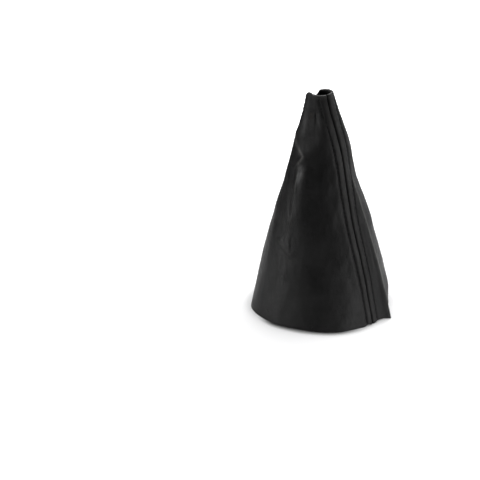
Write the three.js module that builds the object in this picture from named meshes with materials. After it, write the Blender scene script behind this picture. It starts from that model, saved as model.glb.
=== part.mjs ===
// Gear lever gaiter: a tapering leather sleeve, oval at its hem and pinched at its rim.
// Two panels meet in two seams, one at the front right and one opposite it. At a seam each
// panel's edge is turned under, and a topstitch row on each side holds the turned edge down.
// The rim is a cuff of leather turned in, and the hem is a plain cut edge that lies flat.
//
// Frame: millimetres, +Z up, front at -Y, right at +X. Angles go round the sleeve from the
// front towards the right. Heights along the sleeve are fractions, 0 at the hem, 1 at the rim.

import * as THREE from 'three';

const { clamp, lerp, smoothstep, degToRad } = THREE.MathUtils;

// Size of the sleeve
const height = 209.3;
const hemWidth = 131;
const hemDepth = 119.5;
const rimWidth = 23;
const rimDepth = 13.2;
const rimFall = 3; // the rim is this much lower at the front than at the back
const lean = 8; // the rim's middle stands this far left of the hem's
const belly = 2.4; // the sleeve is wider by this than a straight taper, up to bellyTop
const bellyTop = 0.62;

// Leather
const leather = 1.2;
const turnedLeather = 2; // two layers, pared thin where the leather is turned under
const cuffHeight = 14;
const cuffMark = 0.35; // depth of the line round the outside, where the turned leather ends
const cuffMarkReach = 2; // that line's slopes reach this far up and down
const allowance = 10.5; // width of the turned edge beside a seam
const paredStep = 0.5; // the turned edge ends in a slope this wide

// Seams
const seamAngle = 43.6;
const seamSway = 3.5; // the seam strays this many degrees to the right about swayHeight,
const swayHeight = 0.73;
const swaySpread = 0.12;
const seamTurn = 10; // and turns this many degrees to the front from turnFrom to the rim
const turnFrom = 0.82;
const stitchOffset = 6; // from the seam to each topstitch row
const stitchSpread = 2; // the rows stray this much further out from spreadFrom to spreadTo
const spreadFrom = 0.45;
const spreadTo = 0.65;
const stitchPitch = 4;
const stitchRise = 0.35; // a stitch stands this much higher at its middle than at its holes
const stitchGroove = 0.6; // the row pulls the leather down this deep
const threadThickness = 0.5;
const threadInset = 2.6; // the threads end this far inside the hem and the rim
const clearance = 0.3;

// Fineness of the facets
const rowSpacing = 9.5;
const pinchRowSpacing = 4.6;
const backIntervals = [4, 6, 8];
const frontIntervals = [6, 5, 6];

// How far the leather's soft forms stand out, or in where that is negative
const creaseRise = 7.6;
const lobeRise = 4.2;
const hollowRise = -1.6;
const seamHollowRise = -0.5;
const sideRise = 1.4;
const upperSideRise = 2;
const shoulderRise = 1.8;
const neckRise = 2;
const frontRollRise = 1.2;
const ridgeRise = 1.8;
const hemBulgeRise = 2.4;
const hemDrawRise = -1.6;

// Each form lies at an angle, spreads by some degrees to each side, and runs from one height
// to another, strongest at its peak
const folds = [
  // sharp crease that stands out at the right of the hem and dies out above the middle
  { angle: 60.5, spread: 4, rise: creaseRise, from: -0.7, peak: 0, to: 0.7, sharp: true },
  // rounded lobe behind that crease, and the hollows behind it and in front of it
  { angle: 106, spread: 14, rise: lobeRise, from: 0, peak: 0.085, to: 0.5 },
  { angle: 78, spread: 7, rise: hollowRise, from: -0.4, peak: 0, to: 0.42 },
  { angle: 52, spread: 5, rise: seamHollowRise, from: -0.5, peak: 0, to: 0.5 },
  // fullness of the right side, which swells above the crease and again under the rim
  { angle: 90, spread: 18, rise: sideRise, from: -0.1, peak: 0.3, to: 0.95 },
  { angle: 92, spread: 14, rise: upperSideRise, from: 0.33, peak: 0.47, to: 0.65 },
  { angle: 80, spread: 16, rise: shoulderRise, from: 0.62, peak: 0.78, to: 0.93 },
  { angle: 92, spread: 16, rise: neckRise, from: 0.45, peak: 0.84, to: 1.05 },
  // roll down the front under the rim
  { angle: 8, spread: 14, rise: frontRollRise, from: 0.6, peak: 0.82, to: 1 },
  // soft ridge down the front left
  { angle: -32, spread: 9, rise: ridgeRise, from: 0.3, peak: 0.6, to: 0.8 },
  // the hem bulges at the left and is drawn in at the front left
  { angle: -72, spread: 12, rise: hemBulgeRise, from: -0.2, peak: 0, to: 0.16 },
  { angle: -23, spread: 11, rise: hemDrawRise, from: -0.3, peak: 0, to: 0.22 },
];
const creaseAngle = folds[0].angle;
const lobeAngle = folds[1].angle;
const ridgeAngle = folds[9].angle;
const foldFade = 0.5; // the columns leave the forms from this height up,
const foldGone = 0.75; // and stand evenly above this one

// At the left of the rim the walls are pressed together, where the front one stands, and they
// part again below the rim
const pinchFrom = 0.74;
const pinchStart = -0.12; // shares of the half width left of the middle
const pinchFull = 0.32;

// The hem lifts a little beside the visible seam and where it is drawn in
const seamLift = 0.7;
const drawLift = 1;
const hemLifts = [
  { angle: 50, spread: 7, rise: seamLift },
  { angle: -23, spread: 11, rise: drawLift },
];

const noseRadius = turnedLeather / 2;
const threadRadius = threadThickness / 2;
const cuffLine = 1 - cuffHeight / height;

const leatherMaterial = new THREE.MeshStandardMaterial({ color: 0x1c1c1d, roughness: 0.5, metalness: 0 });
const threadMaterial = new THREE.MeshStandardMaterial({ color: 0x121212, roughness: 0.8, metalness: 0 });

// Ramanujan's first terms for the girth of an ellipse, which is also turned round to find
// the half depth that goes with a half width
function ellipseGirth(a, b) {
  const h = ((a - b) / (a + b)) ** 2;
  return Math.PI * (a + b) * (1 + h / 4);
}

function halfWidth(t) {
  const straight = lerp(hemWidth, rimWidth, t) / 2;
  return straight + belly * Math.sin(Math.PI * clamp(t / bellyTop, 0, 1));
}

// The leather is cut flat, so its girth falls evenly from hem to rim
function halfDepth(t) {
  const hemGirth = ellipseGirth(hemWidth / 2, hemDepth / 2);
  const rimGirth = ellipseGirth(rimWidth / 2, rimDepth / 2);
  const girth = lerp(hemGirth, rimGirth, t);
  const a = halfWidth(t);
  let b = girth / Math.PI - a;
  for (let pass = 0; pass < 4; pass++) {
    b = (a + b) * girth / ellipseGirth(a, b) - a;
  }
  return b;
}

// How far the walls have come together, from 0 to 1, at a share of the half width to the right
function pinch(place, t) {
  return smoothstep(-place, pinchStart, pinchFull) * smoothstep(t, pinchFrom, 1);
}

function angleBetween(angle, degrees) {
  const turn = angle - degToRad(degrees);
  return Math.atan2(Math.sin(turn), Math.cos(turn));
}

// Rise of a form at an angle, round or with a sharp ridge
function swell({ angle: place, spread, rise, sharp }, angle) {
  const away = Math.abs(angleBetween(angle, place)) / degToRad(spread);
  return rise * Math.exp(sharp ? -away : -away * away / 2);
}

function foldRise(fold, angle, t) {
  const edge = t < fold.peak ? fold.from : fold.to;
  const reach = clamp((t - edge) / (fold.peak - edge), 0, 1);
  return swell(fold, angle) * (fold.sharp ? reach : smoothstep(reach, 0, 1));
}

// A point of the leather at some depth under its face. All depths share the folds, so the
// inner face follows the outer one, and the pinched walls stay apart. Both of those move
// forwards together, and the back one's rim comes down to the front one's.
function point(angle, t, depth = 0, above = 0) {
  const side = Math.sin(angle);
  const front = Math.cos(angle);
  const rise = folds.reduce((sum, fold) => sum + foldRise(fold, angle, t), 0);
  const across = halfWidth(t) + rise - depth;
  const shut = turnedLeather + clearance;
  const pressed = pinch(side, t);
  const along = lerp(halfDepth(t) + rise, shut, pressed) - depth;
  const place = clamp(across * side / halfWidth(t), -1, 1);
  const forward = (halfDepth(t) - shut) * (1 - place * place) * pinch(place, t);
  const hem = hemLifts.reduce((sum, lift) => sum + swell(lift, angle), 0);
  const fall = rimFall * (1 + lerp(front, Math.abs(front), pressed)) / 2;
  const rim = height - noseRadius - fall;
  return new THREE.Vector3(
    across * side - lean * t,
    -along * front - forward,
    lerp(hem, rim, t) + above,
  );
}

// The angle that lies some millimetres along the leather's face from a first one
function walk(angle, distance, t) {
  const steps = 8;
  const probe = 0.01;
  let reached = angle;
  for (let step = 0; step < steps; step++) {
    const perRadian = point(reached - probe, t).distanceTo(point(reached + probe, t)) / (2 * probe);
    reached += distance / steps / perRadian;
  }
  return reached;
}

const seams = {
  side: (t) => degToRad(seamAngle + seamSway * Math.exp(-(((t - swayHeight) / swaySpread) ** 2))
    - seamTurn * smoothstep(t, turnFrom, 1)),
  rear: (t) => seams.side(t) + Math.PI,
};
const rowFromSeam = (t) => stitchOffset + stitchSpread * smoothstep(t, spreadFrom, spreadTo);

// Columns beside a seam, by their distance from it: the rounded nose of the turned edge, the
// groove of the stitch row, and the pared end of the turned leather
const grooveHalfWidth = threadRadius + clearance + 0.15;
const edgeColumns = (t) => [
  ...[20, 55, 90].map((degrees) => ({
    from: clearance / 2 + noseRadius * (1 - Math.cos(degToRad(degrees))),
    outer: noseRadius * (1 - Math.sin(degToRad(degrees))),
    inner: noseRadius * (1 + Math.sin(degToRad(degrees))),
  })),
  { from: rowFromSeam(t) - grooveHalfWidth, outer: 0, inner: turnedLeather },
  { from: rowFromSeam(t), outer: stitchGroove, inner: turnedLeather },
  { from: rowFromSeam(t) + grooveHalfWidth, outer: 0, inner: turnedLeather },
  { from: allowance, outer: 0, inner: turnedLeather },
  { from: allowance + paredStep, outer: 0, inner: leather },
];

// The columns of a panel at one height, from its first seam to its last. Between the turned
// edges they stand at the forms named by via, with a number of intervals in each stretch.
function columnsAt(t, first, last, via, intervals) {
  const edge = edgeColumns(t);
  const start = edge.map((column) => ({ ...column, angle: walk(first(t), column.from, t) }));
  const end = edge.map((column) => ({ ...column, angle: walk(last(t), -column.from, t) })).reverse();
  const from = start.at(-1).angle;
  const to = end[0].angle;
  const total = intervals.reduce((sum, count) => sum + count, 0);
  const spread = smoothstep(t, foldFade, foldGone);
  const stops = [from];
  let passed = 0;
  via.forEach((degrees, index) => {
    passed += intervals[index];
    stops.push(lerp(degToRad(degrees), lerp(from, to, passed / total), spread));
  });
  stops.push(to);
  const between = [];
  intervals.forEach((count, stretch) => {
    for (let step = stretch === 0 ? 1 : 0; step < count; step++) {
      const angle = lerp(stops[stretch], stops[stretch + 1], step / count);
      between.push({ angle, outer: 0, inner: leather });
    }
  });
  return [...start, ...between, ...end];
}

// Heights of the rows, with the cuff's line and its inner step
function rowHeights() {
  const slope = cuffMarkReach / height;
  const step = paredStep / height;
  const below = cuffLine - slope;
  const rows = [{ t: 0, mark: 0, cuff: false }];
  for (const [from, to, spacing] of [[0, pinchFrom, rowSpacing], [pinchFrom, below, pinchRowSpacing]]) {
    const count = Math.round((to - from) * height / spacing);
    for (let row = 1; row <= count; row++) {
      rows.push({ t: lerp(from, to, row / count), mark: 0, cuff: false });
    }
  }
  rows.push({ t: cuffLine - step, mark: cuffMark * (1 - step / slope), cuff: false });
  rows.push({ t: cuffLine, mark: cuffMark, cuff: true });
  rows.push({ t: cuffLine + slope, mark: 0, cuff: true });
  rows.push({ t: (cuffLine + 1) / 2, mark: 0, cuff: true });
  rows.push({ t: 1, mark: 0, cuff: true });
  return rows;
}

function solid(name, positions, faces, material) {
  const geometry = new THREE.BufferGeometry();
  const numbers = positions.flatMap((p) => p.toArray());
  geometry.setAttribute('position', new THREE.Float32BufferAttribute(numbers, 3));
  geometry.setIndex(faces.flat());
  geometry.computeVertexNormals();
  const mesh = new THREE.Mesh(geometry, material);
  mesh.name = name;
  return mesh;
}

// A panel is a sheet of leather: every column is a loop up the outer face, over the turned
// rim and down the inner face, and the two end loops are closed by the seams' noses.
function panel(name, first, last, via, intervals) {
  const rows = rowHeights();
  const grid = rows.map((row) => columnsAt(row.t, first, last, via, intervals));
  const roll = [45, 90, 135].map(degToRad);
  const loop = 2 * rows.length + roll.length;
  const columns = grid[0].length;
  const positions = [];
  for (let c = 0; c < columns; c++) {
    const inward = rows.map((row, r) => {
      const { inner } = grid[r][c];
      return row.cuff && inner === leather ? turnedLeather : inner;
    });
    rows.forEach((row, r) => {
      positions.push(point(grid[r][c].angle, row.t, grid[r][c].outer + row.mark));
    });
    const top = grid.at(-1)[c];
    const middle = (inward.at(-1) + top.outer) / 2;
    const radius = (inward.at(-1) - top.outer) / 2;
    roll.forEach((turn) => {
      positions.push(point(top.angle, 1, middle - radius * Math.cos(turn), radius * Math.sin(turn)));
    });
    for (let r = rows.length - 1; r >= 0; r--) {
      positions.push(point(grid[r][c].angle, rows[r].t, inward[r]));
    }
  }
  const faces = [];
  for (let c = 0; c < columns - 1; c++) {
    for (let k = 0; k < loop; k++) {
      const next = (k + 1) % loop;
      const here = c * loop;
      const beside = here + loop;
      faces.push([here + k, beside + k, beside + next], [here + k, beside + next, here + next]);
    }
  }
  const close = (base, flip) => {
    const add = (i, j, k) => {
      faces.push(flip ? [base + i, base + k, base + j] : [base + i, base + j, base + k]);
    };
    for (let r = 0; r < rows.length - 1; r++) {
      const opposite = loop - 1 - r;
      add(r, r + 1, opposite - 1);
      add(r, opposite - 1, opposite);
    }
    const rim = rows.length - 1;
    for (let k = 1; k <= roll.length; k++) {
      add(rim, rim + k, rim + k + 1);
    }
  };
  close(0, false);
  close((columns - 1) * loop, true);
  return solid(name, positions, faces, leatherMaterial);
}

// A thread along a seam, on one side of it at the stitch row, or in it where side is 0: a
// four-sided tube through stations that each have a height and a depth under the leather's face
function thread(name, seam, side, stations) {
  const positions = [];
  stations.forEach(({ t, depth }) => {
    const beside = side * rowFromSeam(t);
    const angleAt = (distance) => walk(seam(t), distance, t);
    positions.push(
      point(angleAt(beside - threadRadius), t, depth),
      point(angleAt(beside), t, depth - threadRadius),
      point(angleAt(beside + threadRadius), t, depth),
      point(angleAt(beside), t, depth + threadRadius),
    );
  });
  const faces = [[0, 3, 2], [0, 2, 1]];
  for (let station = 0; station < stations.length - 1; station++) {
    for (let k = 0; k < 4; k++) {
      const here = 4 * station;
      const next = (k + 1) % 4;
      faces.push([here + k, here + next, here + 4 + next], [here + k, here + 4 + next, here + 4 + k]);
    }
  }
  const end = 4 * (stations.length - 1);
  faces.push([end, end + 1, end + 2], [end, end + 2, end + 3]);
  return solid(name, positions, faces, threadMaterial);
}

// Needle thread of a topstitch row: down at each hole, up at each stitch's middle
function needleStations() {
  const first = threadInset / height;
  const last = 1 - threadInset / height;
  const count = 2 * Math.round((last - first) * height / stitchPitch);
  const hole = stitchGroove - clearance - threadRadius;
  return Array.from({ length: count + 1 }, (_, k) => ({
    t: lerp(first, last, k / count),
    depth: k % 2 === 0 ? hole : hole - stitchRise,
  }));
}

// Threads on the inside follow the leather's rows up to the cuff, which covers their ends
function insideStations(depth) {
  const first = threadInset / height;
  const last = cuffLine - threadInset / height;
  const between = rowHeights().map((row) => row.t).filter((t) => t > first && t < last);
  return [first, ...between, last].map((t) => ({ t, depth }));
}

const sleeve = new THREE.Group();
const before = (t) => seams.side(t) - Math.PI;
sleeve.add(
  panel('front_panel', before, seams.side, [-90, ridgeAngle], frontIntervals),
  panel('back_panel', seams.side, seams.rear, [creaseAngle, lobeAngle], backIntervals),
);

// The closing thread lies in the groove between the two noses, on the inside
const bobbinDepth = turnedLeather + clearance + threadRadius;
const reach = noseRadius + clearance + threadRadius;
const closingDepth = noseRadius + Math.sqrt(reach ** 2 - (clearance / 2 + noseRadius) ** 2);
for (const [name, seam] of Object.entries(seams)) {
  const sides = name === 'side' ? { front: -1, back: 1 } : { back: -1, front: 1 };
  sleeve.add(thread(`${name}_seam_closing_thread`, seam, 0, insideStations(closingDepth)));
  for (const [panelName, side] of Object.entries(sides)) {
    sleeve.add(
      thread(`${name}_seam_topstitch_${panelName}`, seam, side, needleStations()),
      thread(`${name}_seam_bobbin_${panelName}`, seam, side, insideStations(bobbinDepth)),
    );
  }
}

// The origin is under the middle of the sleeve's box, on the surface that the hem lies on
const box = new THREE.Box3().setFromObject(sleeve);
const middle = box.getCenter(new THREE.Vector3());
sleeve.position.set(-middle.x, -middle.y, -box.min.z);

const group = new THREE.Group();
group.add(sleeve);

export default group;
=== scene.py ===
import math
import bpy
import numpy as np
from mathutils import Matrix, Vector


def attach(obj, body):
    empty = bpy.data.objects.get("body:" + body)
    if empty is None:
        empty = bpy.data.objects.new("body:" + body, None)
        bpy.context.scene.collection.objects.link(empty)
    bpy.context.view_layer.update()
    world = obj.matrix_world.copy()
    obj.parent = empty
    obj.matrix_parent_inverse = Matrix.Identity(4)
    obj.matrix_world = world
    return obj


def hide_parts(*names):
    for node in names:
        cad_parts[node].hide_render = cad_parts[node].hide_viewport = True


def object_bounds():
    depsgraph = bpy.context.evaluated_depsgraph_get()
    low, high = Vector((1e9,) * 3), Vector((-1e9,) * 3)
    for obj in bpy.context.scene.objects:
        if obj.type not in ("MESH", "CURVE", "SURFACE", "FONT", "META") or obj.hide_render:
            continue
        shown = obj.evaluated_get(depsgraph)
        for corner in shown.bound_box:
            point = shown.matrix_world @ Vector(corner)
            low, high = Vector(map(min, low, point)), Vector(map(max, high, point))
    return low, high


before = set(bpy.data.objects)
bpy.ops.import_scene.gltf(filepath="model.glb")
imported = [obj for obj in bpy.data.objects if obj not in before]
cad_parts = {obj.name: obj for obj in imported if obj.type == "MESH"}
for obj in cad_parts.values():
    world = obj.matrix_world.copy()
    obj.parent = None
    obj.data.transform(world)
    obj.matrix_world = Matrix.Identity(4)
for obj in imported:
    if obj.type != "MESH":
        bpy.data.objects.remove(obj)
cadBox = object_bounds()
mm = 0.001
scene = bpy.context.scene
print("frame loaded,", len(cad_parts), "nodes")

# Shapes are in millimetres, finishes and the studio in metres. Angles are in degrees, from the
# front towards the right. Heights along the sleeve are shares of its length, 0 at the hem.
sleeve = {
    "height": 209.3,
    "hemWidth": 131,
    "hemDepth": 119.5,
    "rimWidth": 23,
    "rimDepth": 13.2,
    "rimFall": 3,  # the rim is lower at the front
    "lean": 8,  # the rim stands to the left of the hem
    "belly": 2.4,
    "bellyTop": 0.62,
    "leather": 1.2,
    "turned": 2,  # two layers, pared thin
    "cuff": 14,
    "gap": 0.1,
    "middle": (0.431, 0.126),  # of the hem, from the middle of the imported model's box
    "pinchFrom": 0.74,
    "pinchStart": -0.12,
    "pinchFull": 0.32,
    "follow": 0.6,  # the inside follows the outside's forms this much
    "thinnest": 0.6,  # share of its thickness that the leather keeps everywhere
    "creaseRound": 0.25,  # how round the side crease's edge is, as a share of its spread
}

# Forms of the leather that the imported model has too: angle, spread, rise, lowest height,
# peak and highest height
folds = {
    "crease": (60.5, 4, 7.6, -0.7, 0, 0.7),
    "lobe": (106, 14, 4.2, 0, 0.085, 0.5),
    "hollowBehindCrease": (78, 7, -1.6, -0.4, 0, 0.42),
    "hollowByTheSeam": (52, 5, -0.5, -0.5, 0, 0.5),
    "rightSide": (90, 18, 1.4, -0.1, 0.3, 0.95),
    "upperRightSide": (92, 14, 2, 0.33, 0.47, 0.65),
    "shoulder": (80, 16, 1.8, 0.62, 0.78, 0.93),
    "neckSide": (92, 16, 2, 0.45, 0.84, 1.05),
    "frontRoll": (8, 14, 1.2, 0.6, 0.82, 1),
    "leftRidge": (-32, 9, 1.8, 0.3, 0.6, 0.8),
    "hemBulge": (-72, 12, 2.4, -0.2, 0, 0.16),
    "hemDrawnIn": (-23, 11, -1.6, -0.3, 0, 0.22),
}
# Waves of the rim's edge: place as a share of the half width, spread, rise, share at the front
rimWaves = {
    "leftCorner": (-1, 0.07, -1.6, 1),
    "besideCorner": (-0.72, 0.14, 0.9, 1),
    "backOfMouth": (0, 0.24, -0.9, 0),
    "right": (0.95, 0.3, 0.7, 1),
}
# Where the hem is off the ground: angle, spread and lift
hemLifts = {
    "bySeam": (50, 7, 0.7),
    "drawnIn": (-23, 11, 1),
    "leftOfSeam": (37.6, 2.2, 1.3),
    "rightOfSeam": (49.6, 2.4, 0.9),
    "beforeCrease": (56, 2, 0.4),
}


def smooth(x, low, high):
    k = np.clip((x - low) / (high - low), 0, 1)
    return k * k * (3 - 2 * k)


def bell(x, width):
    return np.exp(-(x / width) ** 2 / 2)


def lengthAlong(points):  # how far along a line of points each one lies
    return np.concatenate([[0], np.cumsum(np.linalg.norm(np.diff(points, axis=0), axis=1))])


def unit(vectors):
    return vectors / np.linalg.norm(vectors, axis=1)[:, None]


def away(angle, degrees):  # degrees between an angle in radians and a place
    turn = angle - np.radians(degrees)
    return np.degrees(np.arctan2(np.sin(turn), np.cos(turn)))


def girth(a, b):
    return np.pi * (a + b) * (1 + ((a - b) / (a + b)) ** 2 / 4)


def halfWidth(t):
    straight = (sleeve["hemWidth"] * (1 - t) + sleeve["rimWidth"] * t) / 2
    return straight + sleeve["belly"] * np.sin(np.pi * np.clip(t / sleeve["bellyTop"], 0, 1))


def halfDepth(t):
    hem = girth(sleeve["hemWidth"] / 2, sleeve["hemDepth"] / 2)
    rim = girth(sleeve["rimWidth"] / 2, sleeve["rimDepth"] / 2)
    whole, a = hem * (1 - t) + rim * t, halfWidth(t)
    b = whole / np.pi - a
    for _ in range(5):
        b = (a + b) * whole / girth(a, b) - a
    return b


def foldRise(angle, t):
    total = np.zeros(np.broadcast(angle, t).shape)
    roundness = sleeve["creaseRound"]
    for name, (place, spread, rise, low, peak, high) in folds.items():
        edge = np.where(t < peak, low, high)
        reach = np.clip((t - edge) / (peak - edge), 0, 1)
        off = away(angle, place) / spread
        if name == "crease":  # a ridge with a rounded edge
            total += rise * np.exp(roundness - np.sqrt(off ** 2 + roundness ** 2)) * reach
        else:
            total += rise * bell(off, 1) * smooth(reach, 0, 1)
    return total


def pinch(place, t):  # how far the walls have come together at a share of the half width
    return smooth(-place, sleeve["pinchStart"], sleeve["pinchFull"]) * smooth(t, sleeve["pinchFrom"], 1)


def surface(angle, t, depth=0, above=0):
    side, front = np.sin(angle), np.cos(angle)
    rise = foldRise(angle, t)
    across = halfWidth(t) + rise - depth
    shut = sleeve["turned"] + sleeve["gap"]
    pressed = pinch(side, t)
    along = (halfDepth(t) + rise) * (1 - pressed) + shut * pressed - depth
    place = np.clip(across * side / halfWidth(t), -1, 1)
    forward = (halfDepth(t) - shut) * (1 - place ** 2) * pinch(place, t)
    hem = sum(lift * bell(away(angle, at), spread) for at, spread, lift in hemLifts.values())
    fall = sleeve["rimFall"] * (1 + front * (1 - pressed) + np.abs(front) * pressed) / 2
    rim = sleeve["height"] - sleeve["turned"] / 2 - fall
    rim = rim + sum(lift * bell(place - at, spread) * np.where(front < 0, 1, atFront)
                    for at, spread, lift, atFront in rimWaves.values())
    return np.stack([across * side - sleeve["lean"] * t, -along * front - forward,
                     hem * (1 - t) + rim * t + above], -1)


shift = np.array([*sleeve["middle"], cadBox[0][2] / mm])

camera = {
    "from": (-77.5, -847.4, 459.2),  # from the middle of the hem
    "pitch": 24.94,
    "lens": 75,
    "sensor": 36,
}


def makeCamera():
    data = bpy.data.cameras.new("camera")
    data.lens = camera["lens"]
    data.sensor_width = camera["sensor"]
    obj = bpy.data.objects.new("camera", data)
    place = (np.array(camera["from"]) + [shift[0], shift[1], 0]) * mm
    turn = Matrix.Rotation(math.radians(90 - camera["pitch"]), 4, "X")
    obj.matrix_world = Matrix.Translation(Vector(place)) @ turn
    scene.collection.objects.link(obj)
    scene.camera = obj


makeCamera()
print("camera placed")

seam = {
    "angle": 42.8,
    "bow": -3.4,  # how far it bows towards the front at mid height
    "bowHeight": 0.42,
    "bowSpread": 0.17,
    "sway": 3.5,
    "swayHeight": 0.73,
    "swaySpread": 0.12,
    "turn": 10,
    "turnFrom": 0.82,
    "allowance": 10.5,
    "stepBefore": 2,  # over the turned edge's end the face comes down, from here before it
    "stepPast": 5,  # to here past it
    "row": 6.6,  # from the seam to a stitch row
    "rowSpread": 0.8,
    "spreadFrom": 0.45,
    "spreadTo": 0.65,
    "pitch": 4,
    "inset": 2.6,
    "rowsPerStitch": 4,
    "padding": 0.45,  # the turned edge lifts the face this much
    "swell": 0.5,  # and swells it by this share more, between the seam and the row
    "valley": 0.55,  # the faces dip towards the seam
    "valleyWidth": 0.6,
    "groove": 0.75,
    "grooveWidth": 0.52,
    "hole": 0.6,
    "holeWidth": 0.5,
    "holePower": 3,  # a higher one makes the holes shorter along the row
    "pucker": 0.14,
    "puckerReach": 2.2,
    "sewnFade": 0.008,  # past the first and the last hole, as a share of the length
}
# How the cuff shows on the face: it lifts it, and its edge leaves a shallow groove
cuffMark = {
    "rise": 0.12,
    "fadeBefore": 1.2,
    "fadePast": 0.8,
    "groove": 0.14,
    "grooveWidth": 0.8,
}


def sideSeam(t):
    sway = seam["sway"] * np.exp(-((t - seam["swayHeight"]) / seam["swaySpread"]) ** 2)
    sway = sway + seam["bow"] * np.exp(-((t - seam["bowHeight"]) / seam["bowSpread"]) ** 2)
    return np.radians(seam["angle"] + sway - seam["turn"] * smooth(t, seam["turnFrom"], 1))


def rearSeam(t):
    return sideSeam(t) + np.pi


def rearSeamBefore(t):
    return sideSeam(t) - np.pi


def rowFromSeam(t):
    return seam["row"] + seam["rowSpread"] * smooth(t, seam["spreadFrom"], seam["spreadTo"])


def stitchSpan():  # the first and the last hole's height, and the number of stitches
    first = seam["inset"] / sleeve["height"]
    count = round((1 - 2 * first) * sleeve["height"] / seam["pitch"])
    return first, 1 - first, count


def stitchPhase(t):  # 0 at each hole, 0.5 at each stitch's middle
    first, last, count = stitchSpan()
    return (t - first) / (last - first) * count


# Sets of waves: count, shortest and longest, height
waveSets = {"broad": (26, 9, 42, 0.22), "fine": (34, 4, 8, 0.03)}
waves = {
    "seed": 7,
    "ways": (1, 1, 0.6),  # their crests stand upright more than they lie across
    "calm": 0.75,  # the narrow top is stiffer, and loses this share of them by the rim
    "calmFrom": 0.85,
}


def undulation(points):  # soft unevenness of hand-sewn leather, the same at every depth
    rng = np.random.default_rng(waves["seed"])
    total = np.zeros(points.shape[:-1])
    for count, shortest, longest, height in waveSets.values():
        for _ in range(count):
            direction = rng.normal(size=3) * waves["ways"]
            direction /= np.linalg.norm(direction)
            length = shortest * (longest / shortest) ** rng.random()
            phase = rng.random() * 2 * np.pi
            wave = np.sin(points @ direction * 2 * np.pi / length + phase)
            total += wave * length / longest * height * 2 / math.sqrt(count)
    return total


# Broad dents and bulges: where each starts and ends (angle, height), half width and rise
dents = {
    "neckFront": ((-40, 0.95), (-36, 0.86), 9, -2.4),  # the neck is flat from the left to the seam
    "aboveKnee": ((-50, 0.834), (-8, 0.84), 3.6, -0.8),
    "kneeBulge": ((-34, 0.778), (-6, 0.778), 5.2, 0.6),
    "underKnee": ((-36, 0.7), (-4, 0.71), 5, -0.6),
    "leftPatch": ((-47, 0.6), (-38, 0.605), 6.5, 1.1),
    "lowerPatch": ((-50, 0.46), (-42, 0.47), 7, 0.8),
    "lowerDent": ((-20, 0.24), (4, 0.3), 9, -0.6),
    "sideDent": ((18, 0.2), (26, 0.27), 6, -0.5),
    "backFold": ((150, 0.55), (185, 0.47), 6, 0.9),
    "backDent": ((140, 0.36), (190, 0.4), 10, -1.1),
    "farLeftFold": ((-118, 0.6), (-100, 0.5), 6, 0.8),
}
dentEnds = 0.55  # rise at a dent's ends, as a share of the rise at its middle

# Creases: the line's points, how far it stands out, how round its edge is, how wide its left
# and right slopes are as one goes along it, and the depth and width of the dent on its right
creases = {
    "knee": (((-94, 0.85), (-72, 0.816), (-53, 0.784), (-36, 0.746), (-43, 0.722), (-55, 0.69)),
             2.5, 0.9, 7, 3.2, 0.3, 5),
    "ridgeBelow": (((-49, 0.705), (-44, 0.65), (-42, 0.59)), 1.3, 0.8, 8, 2.6, 0.2, 4),
    "ridgeLower": (((-43, 0.6), (-42, 0.52), (-41, 0.43)), 0.6, 0.8, 5, 2.4, 0.2, 4),
    "check": (((-54, 0.38), (-46, 0.347), (-35.5, 0.32), (-31, 0.346)), 1.2, 1, 6, 2.2, 0.4, 4),
}
slopes = {
    "blend": 0.3,  # on each side of the line, where the left slope passes into the right one
    "endPower": 0.8,  # a lower one keeps the crease up nearer to its ends
    "leftEnd": -112,  # the creases stay at the front, to the right of this angle
    "leftFade": 26,
}

# How much places are rubbed, from 0 to 1, and how wide they are in mm. The rubbed colour is real wear, and
# on the creases' crests it is also a painted highlight
rubbedOrLit = {
    "fullRise": 2.5,  # a crease that stands out this far is rubbed fully
    "endPower": 6,
    "creaseWidth": 0.75,
    "sideCrease": 0.5,
    "sideCreaseWidth": 0.9,  # degrees
    "sideCreaseFade": 0.2,  # below its upper end, as a share of the length
    "seam": 0.15,
    "seamAt": 3,  # from the seam
    "seamWidth": 1.1,
    "rim": 0.3,
    "rimWidth": 1.6,
    "roll": 0.25,
    "hem": 0.3,
}
# How far down places lie, from 0 to 1, where the leather stays matt, and how wide they are
sunken = {"seamWidth": 0.85, "row": 0.8, "rowWidth": 0.5}


def alongLine(angle, t, points):
    # distance from a line on the face, which side of it, and how far along it
    place, height = np.mean(points, axis=0)
    perDegree = np.radians(1) * (halfWidth(height) + halfDepth(height)) / 2
    x, y = away(angle, place) * perDegree, t * sleeve["height"]
    line = np.array([((a - place) * perDegree, h * sleeve["height"]) for a, h in points])
    lengths = np.linalg.norm(np.diff(line, axis=0), axis=1)
    nearest = np.full(x.shape, np.inf)
    side, along = np.zeros(x.shape), np.zeros(x.shape)
    for k, (start, way) in enumerate(zip(line, np.diff(line, axis=0))):
        share = np.clip(((x - start[0]) * way[0] + (y - start[1]) * way[1]) / lengths[k] ** 2, 0, 1)
        offX, offY = x - start[0] - share * way[0], y - start[1] - share * way[1]
        distance = np.hypot(offX, offY)
        closer = distance < nearest
        nearest = np.where(closer, distance, nearest)
        side = np.where(closer, (way[0] * offY - way[1] * offX) / lengths[k], side)
        along = np.where(closer, (lengths[:k].sum() + share * lengths[k]) / lengths.sum(), along)
    return nearest, side, along


def dentRise(angle, t):
    total = np.zeros(np.broadcast(angle, t).shape)
    for start, end, width, rise in dents.values():
        distance, _, along = alongLine(angle, t, (start, end))
        total += rise * bell(distance, width) * (dentEnds + (1 - dentEnds) * np.sin(np.pi * along))
    return total


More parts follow.
